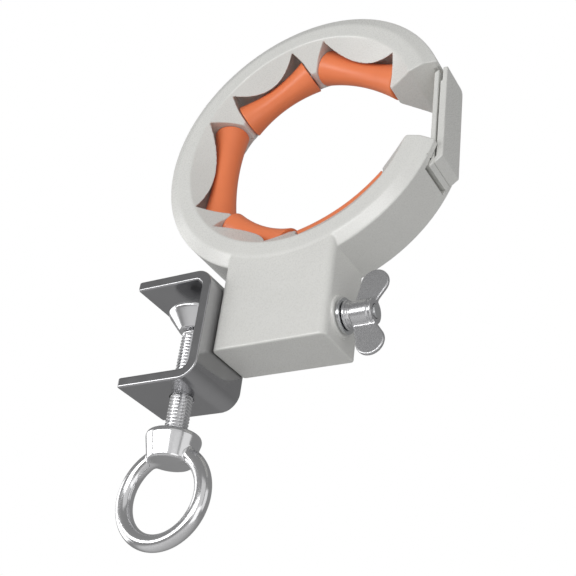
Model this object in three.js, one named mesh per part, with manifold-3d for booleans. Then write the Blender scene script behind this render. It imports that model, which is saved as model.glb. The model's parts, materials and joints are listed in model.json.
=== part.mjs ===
// Cable guide ring on a screw clamp.
// A C-shaped ring carries five hourglass rollers and is closed by a spring-loaded side gate.
// Its foot block swivels on a pivot bolt in the web of a bent steel clamp bracket,
// and an eye bolt with a swivel pad clamps the bracket to a bar or a board.
// Units are millimetres. X runs from the clamp towards the gate, Y along the ring's axis
// towards the back, Z up. The design is drawn about the ring's centre, and the finished
// assembly is moved so that its origin is the centre of the clamp's fixed jaw face.

import * as THREE from 'three';
import { mergeVertices } from 'three/addons/utils/BufferGeometryUtils.js';
import Module from 'manifold-3d';

const wasm = await Module();
wasm.setup();

// ---------- driving dimensions ----------

const GAP = 0.3; // clearance between neighbouring pieces

const RING_FACETS = 72;
const RING_OUTER_R = 70;
const RING_DEPTH = 30.8;
const FACE_OUTER_R = 64.1; // outer edge of the flat face, where the chamfer starts
const FACE_INNER_R = 57.4; // inner edge of the flat face, where the funnel starts
const THROAT_R = 46.3;
const THROAT_HALF = 5.5; // half the width of the narrow strip at the throat
const CHAMFER_DEPTH = 2.8;
const COVER_R = 61.6; // outer edge of the rear cover, inside the flat face
const COVER_STEP_R = 51; // inside this radius the cover starts behind the throat strip
const COVER_STEP_Y = 5.2;
const COVER_END_DEGREES = 4; // how far the cover stops short of the ring's two ends

const POST_ANGLES = [29, 92, 146.5, 217.5, 269, 331]; // posts between the roller pockets, in degrees
const POST_HALF_ANGLE = 9.2;
const OPENING_TOP = 19.7; // ends of the ring at the gate, in degrees
const OPENING_BOTTOM = -16.8;

const ROLLER_AXIS_R = 47.3; // distance from the ring's axis to a roller's axis
const ROLLER_WAIST_R = 5.9;
const ROLLER_END_R = 8.5;
const ROLLER_BORE_R = 1.9;
const POCKET_WAIST_R = 7.3;
const POCKET_END_R = 15.1;
const POCKET_FLAT_R = 9.3; // flat end wall round the roller's axis; beyond it the wall leans in
const POCKET_LEAN = 1.6;
const PIN_R = 1.5;
const PIN_OVERLAP = 3; // length of a pin held in a post
const COVER_SCREW_R = 1.5;
const COVER_SCREW_PLACE_R = 57.2; // distance of the cover's screws from the ring's axis
const COVER_SCREW_SEAT_R = 3.3;
const COVER_SCREW_SEAT_Y = 9.7;

const BLOCK_HALF_WIDTH = 26.5;
const BLOCK_BOTTOM = -106.7;
const BLOCK_BACK = 11.3;
const PIVOT_Y = -3.6;
const PIVOT_Z = -93.4;

const GATE_FRONT = -8.8;
const GATE_BACK = 9.4;
const GATE_OUTER_X = 69.3;
const GATE_INNER_X = 63.2;
const GATE_TOP = 22.9;
const GATE_HINGE_X = 62.5;
const GATE_HINGE_Z = -27;
const GATE_CLEARANCE_TOP = 1.2; // space above the gate for its latch nose
const HINGE_PIN_R = 1.25;
const HINGE_PIN_HALF = 12;
const HINGE_HOLLOW_R = 5.1; // hollow in the ring in which the gate's foot turns
const KNUCKLE_R = 3.1;
const LEAF_SPLIT_X = 65.4; // outer face of the inner leaf
const OUTER_LEAF_X = 66.2; // inner face of the outer leaf
const HOOK_X = 67.2; // the outer leaf is thinner above HOOK_Z
const HOOK_Z = 15.2;
const GATE_BEVEL_Z = -26.6;
const RIVET_R = 1;
const RIVET_Z = [-19, -9];

const BRACKET_LEFT = -66;
const BRACKET_RIGHT = -BLOCK_HALF_WIDTH - GAP;
const BRACKET_TOP = -70.1;
const BRACKET_BOTTOM = -121.8;
const BRACKET_FRONT = -22.7;
const BRACKET_BACK = 11.4;
const PLATE = 4.6; // steel strip thickness
const BEND_R = 8.5; // outer radius of the bends

const SCREW_X = -44.3;
const SCREW_Y = (BRACKET_FRONT + BRACKET_BACK) / 2;
const SCREW_R = 4.9;
const SCREW_TIP_R = 3.2; // plain end that the pad turns on
const PAD_TOP = -81.5;
const PAD_R = 12.4;
const PAD_DEPTH = 9;
const PAD_RECESS_R = 5.4;
const PAD_RECESS_DEPTH = 3.6;
const HUB_TOP = -138.4;
const HUB_BOTTOM = -150.8;
const HUB_TOP_R = 11.8;
const HUB_BOTTOM_R = 9.4;
const EYE_MEAN_R = 19;
const EYE_WIRE_R = 3.5;
const EYE_Z = HUB_BOTTOM - 14;

const BOLT_R = 2.85;
const BOLT_HEAD_R = 5.6; // countersunk head, sunk in the web so that the pad can pass
const BOLT_HEAD_DEPTH = 2.8;
const BUSH_R = 4.3;
const BOSS_R = 9;
const BOSS_HEIGHT = 1.2;
const WASHER_R = 7.6;
const WASHER_THICKNESS = 1.4;
const JAW = new THREE.Vector3(-50, SCREW_Y, BRACKET_TOP - PLATE); // centre of the fixed jaw face

// ---------- materials ----------

const PLASTIC = { color: 0xd2d3cd, roughness: 0.55, metalness: 0 };
const ORANGE = { color: 0xe8693a, roughness: 0.45, metalness: 0 };
const STEEL = { color: 0xb9bbbd, roughness: 0.25, metalness: 1 };
const DARK_STEEL = { color: 0x7d7f81, roughness: 0.3, metalness: 1 };

// ---------- solids ----------

/** Keeps only positions and merges shared vertices, so that a geometry is one closed mesh. */
function closed(geometry) {
  const bare = geometry.clone();
  bare.deleteAttribute('normal');
  bare.deleteAttribute('uv');
  return mergeVertices(bare, 1e-4);
}

/** Turns a closed three.js geometry into a manifold solid. */
function solid(geometry) {
  const merged = closed(geometry);
  const mesh = new wasm.Mesh({
    numProp: 3,
    vertProperties: new Float32Array(merged.attributes.position.array),
    triVerts: new Uint32Array(merged.index.array),
  });
  return new wasm.Manifold(mesh);
}

/** Turns a manifold solid back into a three.js geometry. */
function geometryOf(manifold) {
  const mesh = manifold.getMesh();
  const geometry = new THREE.BufferGeometry();
  geometry.setAttribute('position', new THREE.BufferAttribute(mesh.vertProperties, 3));
  geometry.setIndex(new THREE.BufferAttribute(mesh.triVerts, 1));
  geometry.computeVertexNormals();
  return geometry;
}

/** Moves a geometry. */
function moved(geometry, x, y, z) {
  return geometry.translate(x, y, z);
}

/** A box given by its low and high corners. */
function box(low, high) {
  const size = high.map((value, i) => value - low[i]);
  const middle = high.map((value, i) => (value + low[i]) / 2);
  return moved(new THREE.BoxGeometry(...size), ...middle);
}

/** A body of revolution about Z: the profile is a list of [radius, z] that starts and ends on the axis. */
function turned(profile, segments = 32) {
  const points = profile.map(([radius, z]) => new THREE.Vector2(radius, z));
  return new THREE.LatheGeometry(points, segments).rotateX(Math.PI / 2);
}

/** A closed ring of revolution about Z: the profile is a loop of [radius, z] clear of the axis. */
function turnedRing(profile, segments = 32) {
  return turned([...profile, profile[0]], segments);
}

/** A solid rod about Z. */
function rod(radius, z0, z1, segments = 24) {
  return turned([[0, z0], [radius, z0], [radius, z1], [0, z1]], segments);
}

/** A prism along Y: the outline is a list of [x, z]. */
function prismY(outline, y0, y1) {
  const shape = new THREE.Shape(outline.map(([x, z]) => new THREE.Vector2(x, z)));
  const prism = new THREE.ExtrudeGeometry(shape, { depth: y1 - y0, bevelEnabled: false });
  return moved(prism.rotateX(Math.PI / 2), 0, y1, 0);
}

/** Turns a geometry drawn about Z so that its axis is Y or X. */
const alongY = (geometry) => geometry.rotateX(-Math.PI / 2);
const alongX = (geometry) => geometry.rotateY(Math.PI / 2);

const radians = (degrees) => degrees * Math.PI / 180;

// ---------- ring ----------

/** Where the sloping funnel wall is at a given radius, as a distance from the ring's mid plane. */
function funnelY(radius) {
  const slope = (RING_DEPTH / 2 - THROAT_HALF) / (FACE_INNER_R - THROAT_R);
  return THROAT_HALF + (radius - THROAT_R) * slope;
}

/** The whole ring without pockets: flat faces, outer chamfers, funnels and throat strip. */
function ringBlank() {
  const half = RING_DEPTH / 2;
  const profile = [
    [THROAT_R, -THROAT_HALF],
    [FACE_INNER_R, -half],
    [FACE_OUTER_R, -half],
    [RING_OUTER_R, -half + CHAMFER_DEPTH],
    [RING_OUTER_R, half - CHAMFER_DEPTH],
    [FACE_OUTER_R, half],
    [FACE_INNER_R, half],
    [THROAT_R, THROAT_HALF],
  ];
  return solid(alongY(turnedRing(profile, RING_FACETS)));
}

/** The five pockets between the six posts: middle angle and half the length at the roller's axis. */
const POCKETS = POST_ANGLES.slice(0, -1).map((angle, i) => {
  const next = POST_ANGLES[i + 1];
  const halfAngle = radians((next - angle) / 2 - POST_HALF_ANGLE);
  return { angle: (angle + next) / 2, half: FACE_INNER_R * Math.sin(halfAngle) + POCKET_LEAN };
});

/** Places a geometry drawn about Z at the origin onto the axis of the roller at this angle. */
function ontoRollerAxis(geometry, angle) {
  geometry.translate(ROLLER_AXIS_R, 0, 0);
  return geometry.rotateY(-radians(angle));
}

/** An hourglass profile: radii along the axis from -half to +half, following a parabola. */
function hourglass(waist, end, half, steps) {
  return Array.from({ length: steps + 1 }, (_, i) => {
    const t = (2 * i) / steps - 1;
    return [waist + (end - waist) * t * t, t * half];
  });
}

/** The hollow in which a roller turns. */
function pocketCutter({ angle, half }) {
  const profile = [
    [0, -half],
    [POCKET_FLAT_R, -half],
    ...hourglass(POCKET_WAIST_R, POCKET_END_R, half - POCKET_LEAN, 8),
    [POCKET_FLAT_R, half],
    [0, half],
  ];
  const hollow = solid(ontoRollerAxis(turned(profile, 20), angle));
  const inward = box([-22, -THROAT_HALF - 2, -half], [0, THROAT_HALF + 2, half]);
  return hollow.add(solid(ontoRollerAxis(inward, angle)));
}

/** The opening at the gate, widened by some degrees: its inner corners follow the end posts. */
function openingCutter(widening = 0) {
  const point = (radius, degrees) => {
    const angle = radians(degrees);
    return [radius * Math.cos(angle), radius * Math.sin(angle)];
  };
  const low = (radius, degrees) => point(radius, degrees - widening);
  const high = (radius, degrees) => point(radius, degrees + widening);
  const outline = [
    low(THROAT_R - 8, POST_ANGLES[5] - 360 - 8),
    low(THROAT_R, POST_ANGLES[5] - 360 + 0.4),
    low(FACE_INNER_R, OPENING_BOTTOM),
    low(RING_OUTER_R + 8, OPENING_BOTTOM),
    high(RING_OUTER_R + 8, OPENING_TOP),
    high(FACE_INNER_R, OPENING_TOP),
    high(THROAT_R, POST_ANGLES[0] - 0.4),
    high(THROAT_R - 8, POST_ANGLES[0] + 8),
  ];
  return solid(prismY(outline, -20, 20));
}

/** The recess in the ring's outer surface for the gate, with a round hollow for its knuckle. */
function gateRecess() {
  const floor = GATE_INNER_X - GAP;
  const top = GATE_TOP + GATE_CLEARANCE_TOP;
  const slot = solid(box([floor, GATE_FRONT - GAP, GATE_HINGE_Z], [80, GATE_BACK + GAP, top]));
  const hollow = alongY(rod(HINGE_HOLLOW_R, GATE_FRONT - GAP, GATE_BACK + GAP, 32));
  return slot.add(solid(moved(hollow, GATE_HINGE_X, 0, GATE_HINGE_Z)));
}

/** Everything that is cut out of the ring, whichever shell it falls in. */
function ringCutters() {
  const cutters = [openingCutter(), gateRecess(), ...POCKETS.map(pocketCutter)];
  for (const { angle, half } of POCKETS) {
    const length = half + PIN_OVERLAP + GAP;
    cutters.push(solid(ontoRollerAxis(rod(PIN_R + GAP / 2, -length, length, 16), angle)));
  }
  for (const place of SCREW_PLACES) {
    const hole = alongY(rod(COVER_SCREW_R + GAP / 2, -9.3, 12, 16));
    const seat = alongY(rod(COVER_SCREW_SEAT_R, COVER_SCREW_SEAT_Y, 20, 20));
    cutters.push(solid(moved(hole, ...place)), solid(moved(seat, ...place)));
  }
  const hingeHalf = HINGE_PIN_HALF + GAP;
  const hingeHole = alongY(rod(HINGE_PIN_R + GAP / 2, -hingeHalf, hingeHalf, 16));
  cutters.push(solid(moved(hingeHole, GATE_HINGE_X, 0, GATE_HINGE_Z)));
  return cutters;
}

/** Cover screws: one in each post, just inside the cover's rim. */
const SCREW_PLACES = POST_ANGLES.map((degrees) => {
  const angle = radians(degrees);
  return [COVER_SCREW_PLACE_R * Math.cos(angle), 0, COVER_SCREW_PLACE_R * Math.sin(angle)];
});

/** The foot block below the ring, with rounded front edges and a boss for the pivot washer. */
function footBlock() {
  const front = -RING_DEPTH / 2;
  const top = -44;
  const radius = 2.8;
  const outline = new THREE.Shape();
  outline.moveTo(-BLOCK_HALF_WIDTH + radius, front);
  outline.lineTo(BLOCK_HALF_WIDTH - radius, front);
  outline.absarc(BLOCK_HALF_WIDTH - radius, front + radius, radius, -Math.PI / 2, 0);
  outline.lineTo(BLOCK_HALF_WIDTH, BLOCK_BACK);
  outline.lineTo(-BLOCK_HALF_WIDTH, BLOCK_BACK);
  outline.lineTo(-BLOCK_HALF_WIDTH, front + radius);
  outline.absarc(-BLOCK_HALF_WIDTH + radius, front + radius, radius, Math.PI, 1.5 * Math.PI);
  const settings = { depth: top - BLOCK_BOTTOM, bevelEnabled: false, curveSegments: 6 };
  const block = solid(moved(new THREE.ExtrudeGeometry(outline, settings), 0, 0, BLOCK_BOTTOM));
  const disc = alongX(rod(BOSS_R, BLOCK_HALF_WIDTH - 2, BLOCK_HALF_WIDTH + BOSS_HEIGHT, 32));
  const boss = solid(moved(disc, 0, PIVOT_Y, PIVOT_Z));
  const inside = solid(alongY(rod(FACE_OUTER_R - 2, -40, 40, RING_FACETS)));
  return block.add(boss).subtract(inside);
}

/**
 * The rear cover's space, shrunk by a gap: a disc inside the flat face, behind the mid plane. Its joint with
 * the ring steps back to the edge of the throat strip, and stays clear of the ring's two ends.
 */
function coverSpace(gap) {
  const disc = solid(alongY(rod(COVER_R - gap, gap, 20, RING_FACETS)));
  const throat = solid(alongY(rod(COVER_STEP_R + gap, -1, COVER_STEP_Y + gap, RING_FACETS)));
  return disc.subtract(throat).subtract(openingCutter(COVER_END_DEGREES + gap));
}

function ringBody() {
  const bushHole = alongX(rod(BUSH_R + GAP, -BLOCK_HALF_WIDTH - 5, BLOCK_HALF_WIDTH + 5, 24));
  let ring = ringBlank().subtract(coverSpace(0)).add(footBlock());
  ring = ring.subtract(solid(moved(bushHole, 0, PIVOT_Y, PIVOT_Z)));
  return ringCutters().reduce((left, cutter) => left.subtract(cutter), ring);
}

function rearCover() {
  const cover = ringBlank().intersect(coverSpace(GAP));
  return ringCutters().reduce((left, cutter) => left.subtract(cutter), cover);
}

/** Pan-head screw that holds the rear cover, drawn along Y. */
function coverScrew() {
  const shank = [[0, -9], [COVER_SCREW_R, -9], [COVER_SCREW_R, 10]];
  const profile = [...shank, [2.8, 10], [2.8, 11.4], [2.2, 12.2], [0, 12.2]];
  return alongY(turned(profile, 12));
}

// ---------- rollers ----------

function roller(half) {
  const length = half - 0.5;
  const shoulder = hourglass(ROLLER_WAIST_R, ROLLER_END_R, length, 8);
  return turnedRing([[ROLLER_BORE_R, -length], ...shoulder, [ROLLER_BORE_R, length]], 16);
}

function rollerPin(half) {
  return rod(PIN_R, -half - PIN_OVERLAP, half + PIN_OVERLAP, 12);
}

// ---------- gate ----------

/** Outer leaf: a plate with a bevelled foot, thinned behind its top to make a hook. */
function gateOuterLeaf() {
  const outline = [
    [OUTER_LEAF_X, -29.1],
    [GATE_OUTER_X, GATE_BEVEL_Z],
    [GATE_OUTER_X, GATE_TOP],
    [HOOK_X, GATE_TOP],
    [HOOK_X, HOOK_Z],
    [OUTER_LEAF_X, HOOK_Z],
  ];
  const leaf = solid(prismY(outline, GATE_FRONT, GATE_BACK));
  return RIVET_Z.reduce((left, z) => left.subtract(rivetHole(z)), leaf);
}

/** Inner leaf: a thin springy plate with the hinge knuckle at its foot and a latch nose at its top. */
function gateInnerLeaf() {
  const plate = [
    [GATE_INNER_X, -31.2],
    [LEAF_SPLIT_X, -29.7],
    [LEAF_SPLIT_X, 22.2],
    [GATE_INNER_X, 21.2],
  ];
  const knuckle = moved(alongY(rod(KNUCKLE_R, GATE_FRONT, GATE_BACK, 24)), GATE_HINGE_X, 0, GATE_HINGE_Z);
  const pinHole = moved(alongY(rod(HINGE_PIN_R + GAP / 2, -20, 20, 16)), GATE_HINGE_X, 0, GATE_HINGE_Z);
  const roomLow = [GATE_HINGE_X - 4, -3.2, GATE_HINGE_Z - 4];
  const springRoom = box(roomLow, [GATE_HINGE_X + 2.4, 3.2, GATE_HINGE_Z + 4]);
  const leaf = solid(prismY(plate, GATE_FRONT, GATE_BACK)).add(solid(knuckle));
  const cut = leaf.subtract(solid(pinHole)).subtract(solid(springRoom));
  return RIVET_Z.reduce((left, z) => left.subtract(rivetHole(z)), cut);
}

function rivetHole(z) {
  const hole = alongX(rod(RIVET_R + GAP / 2, GATE_INNER_X - 1, GATE_OUTER_X - 1.2, 12));
  return solid(moved(hole, 0, (GATE_FRONT + GATE_BACK) / 2, z));
}

/** Rivet that joins the two leaves, with its head sunk in the inner one. */
function gateRivet() {
  return alongX(rod(RIVET_R, GATE_INNER_X, GATE_OUTER_X - 1.5, 12));
}

/** Torsion spring on the hinge pin: a helix of round wire with two short legs. */
class SpringCurve extends THREE.Curve {
  getPoint(t) {
    const turns = 2.75;
    const radius = 1.85;
    const angle = 2 * Math.PI * turns * t;
    return new THREE.Vector3(radius * Math.cos(angle), -2.4 + 4.8 * t, radius * Math.sin(angle));
  }
}

function gateSpring() {
  const wire = new THREE.Shape();
  wire.absarc(0, 0, 0.3, 0, 2 * Math.PI);
  const settings = { steps: 30, extrudePath: new SpringCurve(), bevelEnabled: false, curveSegments: 5 };
  return new THREE.ExtrudeGeometry(wire, settings);
}

// ---------- clamp ----------

/** C-shaped bracket bent from flat steel strip. */
function clampBracket() {
  const inner = BEND_R - PLATE;
  const shape = new THREE.Shape();
  const left = BRACKET_LEFT;
  const right = BRACKET_RIGHT;
  shape.moveTo(left, BRACKET_TOP);
  shape.lineTo(right - BEND_R, BRACKET_TOP);
  shape.absarc(right - BEND_R, BRACKET_TOP - BEND_R, BEND_R, Math.PI / 2, 0, true);
  shape.absarc(right - BEND_R, BRACKET_BOTTOM + BEND_R, BEND_R, 0, -Math.PI / 2, true);
  shape.lineTo(left, BRACKET_BOTTOM);
  shape.lineTo(left, BRACKET_BOTTOM + PLATE);
  shape.absarc(right - BEND_R, BRACKET_BOTTOM + BEND_R, inner, -Math.PI / 2, 0, false);
  shape.absarc(right - BEND_R, BRACKET_TOP - BEND_R, inner, 0, Math.PI / 2, false);
  shape.lineTo(left, BRACKET_TOP - PLATE);
  const settings = { depth: BRACKET_BACK - BRACKET_FRONT, bevelEnabled: false, curveSegments: 6 };
  const strip = new THREE.ExtrudeGeometry(shape, settings).rotateX(Math.PI / 2);
  const drill = rod(SCREW_R + GAP, BRACKET_BOTTOM - 2, BRACKET_BOTTOM + PLATE + 2, 24);
  const tapped = moved(drill, SCREW_X, SCREW_Y, 0);
  const web = BRACKET_RIGHT - PLATE;
  const countersink = [
    [0, web - 1],
    [BOLT_HEAD_R + GAP + 0.3, web - 0.3],
    [BOLT_HEAD_R + GAP + 0.3, web + 0.4],
    [BOLT_R + GAP, web + 0.4 + BOLT_HEAD_DEPTH],
    [BOLT_R + GAP, BRACKET_RIGHT + 2],
    [0, BRACKET_RIGHT + 2],
  ];
  const boltHole = moved(alongX(turned(countersink, 24)), 0, PIVOT_Y, PIVOT_Z);
  return solid(moved(strip, 0, BRACKET_BACK, 0)).subtract(solid(tapped)).subtract(solid(boltHole));
}

/** Eye bolt: threaded shank, conical hub and forged ring in the XZ plane. */
function eyeBolt() {
  const tip = PAD_TOP - 2.2;
  const profile = [
    [0, HUB_BOTTOM],
    [HUB_BOTTOM_R, HUB_BOTTOM],
    [HUB_TOP_R, HUB_TOP - 1.5],
    [HUB_TOP_R - 1, HUB_TOP],
    [SCREW_R, HUB_TOP],
    [SCREW_R, PAD_TOP - 10.5],
    [SCREW_TIP_R, PAD_TOP - 9.5],
    [SCREW_TIP_R, tip],
    [0, tip],
  ];
  const shank = solid(turned(profile, 24));
  const ring = new THREE.TorusGeometry(EYE_MEAN_R, EYE_WIRE_R, 12, 36).rotateX(Math.PI / 2);
  return shank.add(solid(moved(ring, 0, 0, EYE_Z)));
}

/** Swivel pad: a cone with its wide face up, turning freely on the screw's tip. */
function pressurePad() {
  const bore = SCREW_TIP_R + GAP;
  const profile = [
    [bore, PAD_TOP - PAD_DEPTH],
    [6.4, PAD_TOP - PAD_DEPTH],
    [PAD_R - 0.6, PAD_TOP - 2.2],
    [PAD_R, PAD_TOP - 1.4],
    [PAD_R, PAD_TOP - 0.5],
    [PAD_R - 0.5, PAD_TOP],
    [PAD_RECESS_R, PAD_TOP],
    [PAD_RECESS_R, PAD_TOP - PAD_RECESS_DEPTH],
    [bore, PAD_TOP - PAD_RECESS_DEPTH],
  ];
  return turnedRing(profile, 24);
}

/** Clip in the pad's recess that keeps the pad on the screw's tip. */
function padClip() {
  const inner = SCREW_TIP_R + GAP;
  const outer = PAD_RECESS_R - GAP;
  const [low, high] = [PAD_TOP - 3.3, PAD_TOP - 2.5];
  return turnedRing([[inner, low], [outer, low], [outer, high], [inner, high]], 24);
}

// ---------- pivot ----------

const WASHER_X = BLOCK_HALF_WIDTH + BOSS_HEIGHT + GAP; // inner face of the washer
const NUT_X = WASHER_X + WASHER_THICKNESS + GAP; // inner face of the wing nut
const NUT_LENGTH = 12.4;

/** Pivot bolt: countersunk head flush with the inside of the bracket's web, shank through the block. */
function pivotBolt() {
  const flush = BRACKET_RIGHT - PLATE + 0.1;
  const profile = [
    [0, flush],
    [BOLT_HEAD_R, flush],
    [BOLT_HEAD_R, flush + 0.3],
    [BOLT_R, flush + 0.3 + BOLT_HEAD_DEPTH],
    [BOLT_R, NUT_X + NUT_LENGTH + 0.6],
    [0, NUT_X + NUT_LENGTH + 0.6],
  ];
  return alongX(turned(profile, 24));
}

/** Plain sleeve that takes the bolt's pull through the plastic block. */
function pivotBush() {
  const low = -BLOCK_HALF_WIDTH;
  const high = BLOCK_HALF_WIDTH + BOSS_HEIGHT;
  return alongX(turnedRing([[BOLT_R + GAP, low], [BUSH_R, low], [BUSH_R, high], [BOLT_R + GAP, high]], 20));
}

function pivotWasher() {
  const high = WASHER_X + WASHER_THICKNESS;
  const profile = [[BOLT_R + GAP, WASHER_X], [WASHER_R, WASHER_X], [WASHER_R, high], [BOLT_R + GAP, high]];
  return alongX(turnedRing(profile, 28));
}

/** One wing of the nut: a flat teardrop in the XZ plane, leaning away from the block. */
function wingOutline() {
  const rootIn = [NUT_X + 3.4, 3.6];
  const rootOut = [NUT_X + 10.4, 3.6];
  const tip = { x: NUT_X + 11.8, z: 14, radius: 5.4 };
  const shape = new THREE.Shape();
  shape.moveTo(...rootIn);
  shape.lineTo(...rootOut);
  shape.absarc(tip.x, tip.z, tip.radius, -0.35, Math.PI * 0.95, false);
  return shape;
}

function wingNut() {
  const bore = BOLT_R + GAP;
  const profile = [
    [bore, NUT_X],
    [6.3, NUT_X],
    [6.3, NUT_X + 1.2],
    [5, NUT_X + 2.2],
    [5, NUT_X + NUT_LENGTH - 0.6],
    [4.4, NUT_X + NUT_LENGTH],
    [bore, NUT_X + NUT_LENGTH],
  ];
  const hub = solid(alongX(turnedRing(profile, 24)));
  const thickness = 1.8;
  const settings = { depth: thickness, bevelEnabled: false, curveSegments: 10 };
  const wing = new THREE.ExtrudeGeometry(wingOutline(), settings);
  const upper = wing.rotateX(Math.PI / 2).translate(0, thickness / 2, 0);
  const lower = upper.clone().rotateX(Math.PI);
  return hub.add(solid(upper)).add(solid(lower));
}

// ---------- assembly ----------

const design = new THREE.Group();

/** Adds one named piece to the design. */
function add(name, shape, look, place = [0, 0, 0]) {
  const geometry = shape instanceof wasm.Manifold ? geometryOf(shape) : closed(shape);
  const mesh = new THREE.Mesh(geometry, new THREE.MeshStandardMaterial(look));
  mesh.name = name;
  mesh.position.set(...place);
  design.add(mesh);
  return mesh;
}

add('ring_body', ringBody(), PLASTIC);
add('rear_cover', rearCover(), PLASTIC);
SCREW_PLACES.forEach((place, i) => add(`cover_screw_${i + 1}`, coverScrew(), STEEL, place));

POCKETS.forEach(({ angle, half }, i) => {
  const turn = -radians(angle);
  const place = [ROLLER_AXIS_R * Math.cos(turn), 0, -ROLLER_AXIS_R * Math.sin(turn)];
  add(`roller_${i + 1}`, roller(half), ORANGE, place).rotation.y = turn;
  add(`roller_pin_${i + 1}`, rollerPin(half), STEEL, place).rotation.y = turn;
});

const hingePlace = [GATE_HINGE_X, 0, GATE_HINGE_Z];
add('gate_outer_leaf', gateOuterLeaf(), PLASTIC);
add('gate_inner_leaf', gateInnerLeaf(), PLASTIC);
add('gate_hinge_pin', alongY(rod(HINGE_PIN_R, -HINGE_PIN_HALF, HINGE_PIN_HALF, 16)), STEEL, hingePlace);
add('gate_spring', gateSpring(), STEEL, hingePlace);
RIVET_Z.forEach((z, i) => {
  const place = [0, (GATE_FRONT + GATE_BACK) / 2, z];
  add(`gate_rivet_${i + 1}`, gateRivet(), STEEL, place);
});

add('clamp_bracket', clampBracket(), DARK_STEEL);
add('eye_bolt', eyeBolt(), STEEL, [SCREW_X, SCREW_Y, 0]);
add('pressure_pad', pressurePad(), STEEL, [SCREW_X, SCREW_Y, 0]);
add('pad_clip', padClip(), STEEL, [SCREW_X, SCREW_Y, 0]);

const pivotPlace = [0, PIVOT_Y, PIVOT_Z];
add('pivot_bolt', pivotBolt(), STEEL, pivotPlace);
add('pivot_bush', pivotBush(), STEEL, pivotPlace);
add('pivot_washer', pivotWasher(), STEEL, pivotPlace);
add('wing_nut', wingNut(), STEEL, pivotPlace);

design.position.copy(JAW).negate();

const clampRing = new THREE.Group();
clampRing.add(design);

export default clampRing;
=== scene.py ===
"""Cable guide ring on a screw clamp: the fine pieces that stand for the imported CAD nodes.

Shapes are written in millimetres about the ring's centre, as in the CAD source, and are moved into the
part's frame when their meshes are made. Moulded and cast pieces are distance fields meshed on a grid,
turned pieces are profiles swept about an axis.
"""

import json
import math

import bmesh
import bpy
import numpy as np
from mathutils import Matrix, Vector


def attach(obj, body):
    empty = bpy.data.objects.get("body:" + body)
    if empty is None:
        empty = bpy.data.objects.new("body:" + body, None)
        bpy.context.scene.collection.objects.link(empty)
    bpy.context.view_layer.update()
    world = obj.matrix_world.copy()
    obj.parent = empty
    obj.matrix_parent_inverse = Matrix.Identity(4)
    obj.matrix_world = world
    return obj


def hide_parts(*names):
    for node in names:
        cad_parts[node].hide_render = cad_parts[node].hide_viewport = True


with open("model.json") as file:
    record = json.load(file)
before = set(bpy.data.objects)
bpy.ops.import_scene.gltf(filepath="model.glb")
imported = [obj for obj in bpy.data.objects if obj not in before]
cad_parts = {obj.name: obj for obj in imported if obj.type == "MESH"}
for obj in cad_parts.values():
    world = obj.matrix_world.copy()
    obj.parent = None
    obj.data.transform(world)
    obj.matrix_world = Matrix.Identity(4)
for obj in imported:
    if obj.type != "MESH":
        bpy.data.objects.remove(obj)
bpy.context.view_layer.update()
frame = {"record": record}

RECORD = frame["record"]
BODY_OF = {node: body for body, nodes in RECORD["behaviour"]["bodies"].items() for node in nodes}
SLOT_OF = {row["node"]: row["material_slot"] for row in RECORD["subparts"]}
COLOUR_OF = {row["slot"]: row["base_color"] for row in RECORD["materials"]}

# ---------- dimensions, millimetres ----------

RING_CENTRE = np.array([50.0, 5.65, 74.7])  # the ring's centre in the part's frame
MM = 0.001

RING_HALF = 15.4  # half the ring's depth
RING_OUTER_R = 70.0
FACE_OUTER_R = 64.1
FACE_INNER_R = 57.4
THROAT_R = 46.3
THROAT_HALF = 5.5
CHAMFER_Y = 12.6  # where the outer chamfer meets the rim
COVER_R = 61.45  # seam between the ring and its rear cover
COVER_STEP_R = 51.0  # inside this radius the cover starts behind the throat strip
COVER_STEP_Y = 5.2
COVER_END = 4.0  # how far the cover stops short of the ring's two ends
SEAM = 0.06

POST_ANGLES = [29, 92, 146.5, 217.5, 269, 331]
POST_HALF_ANGLE = 9.2
OPENING_TOP = 19.7
OPENING_BOTTOM = -16.8

ROLLER_AXIS_R = 47.3
ROLLER_WAIST_R = 5.9
ROLLER_END_R = 8.5
ROLLER_BORE_R = 1.9
POCKET_WAIST_R = 7.3
POCKET_END_R = 15.1
POCKET_FLAT_R = 9.3  # flat end wall round the roller's axis; beyond it the wall leans in
POCKET_LEAN = 1.6
PIN_R = 1.5
PIN_OVERLAP = 3.0
HOLE_GAP = 0.15  # room all round a pin or rivet in its hole

COVER_SCREW_R = 57.2  # distance of the cover's screws from the ring's centre
SCREW_SOCKET_R = 1.25

BLOCK_HALF_WIDTH = 26.5
BLOCK_BOTTOM = -106.7
BLOCK_FRONT = -15.05  # just behind the ring's flat face, so that the ring's edge shows
BLOCK_BACK = 11.3
PIVOT_Y = -3.6
PIVOT_Z = -93.4
BOSS_R = 9.0
BOSS_X = 27.7
SLEEVE_R = 4.3

GATE_FRONT = -8.8
GATE_BACK = 9.4
GATE_OUTER_X = 69.3
GATE_INNER_X = 63.2
LEAF_SPLIT_X = 65.4
OUTER_LEAF_X = 66.2
HOOK_X = 67.2
HOOK_Z = 15.2
GATE_TOP = 22.9
GATE_HINGE = (62.5, -27.0)
KNUCKLE_R = 3.1
KNUCKLE_ROOM_R = 5.1
HINGE_PIN_R = 1.25
HINGE_PIN_HALF = 12.0
GATE_GAP = 0.3  # room all round the leaves in the rim
RIVET_R = 1.0
RIVET_Z = [-19, -9]
SPRING_COIL_R = 1.85
SPRING_WIRE_R = 0.3
SPRING_TURNS = 5.5
SPRING_HALF = 2.3

BRACKET_LEFT = -66.0
BRACKET_RIGHT = -26.8
BRACKET_TOP = -70.1
BRACKET_BOTTOM = -121.8
BRACKET_FRONT = -22.7
BRACKET_BACK = 11.4
PLATE = 4.6
BEND_R = 8.5

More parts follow.
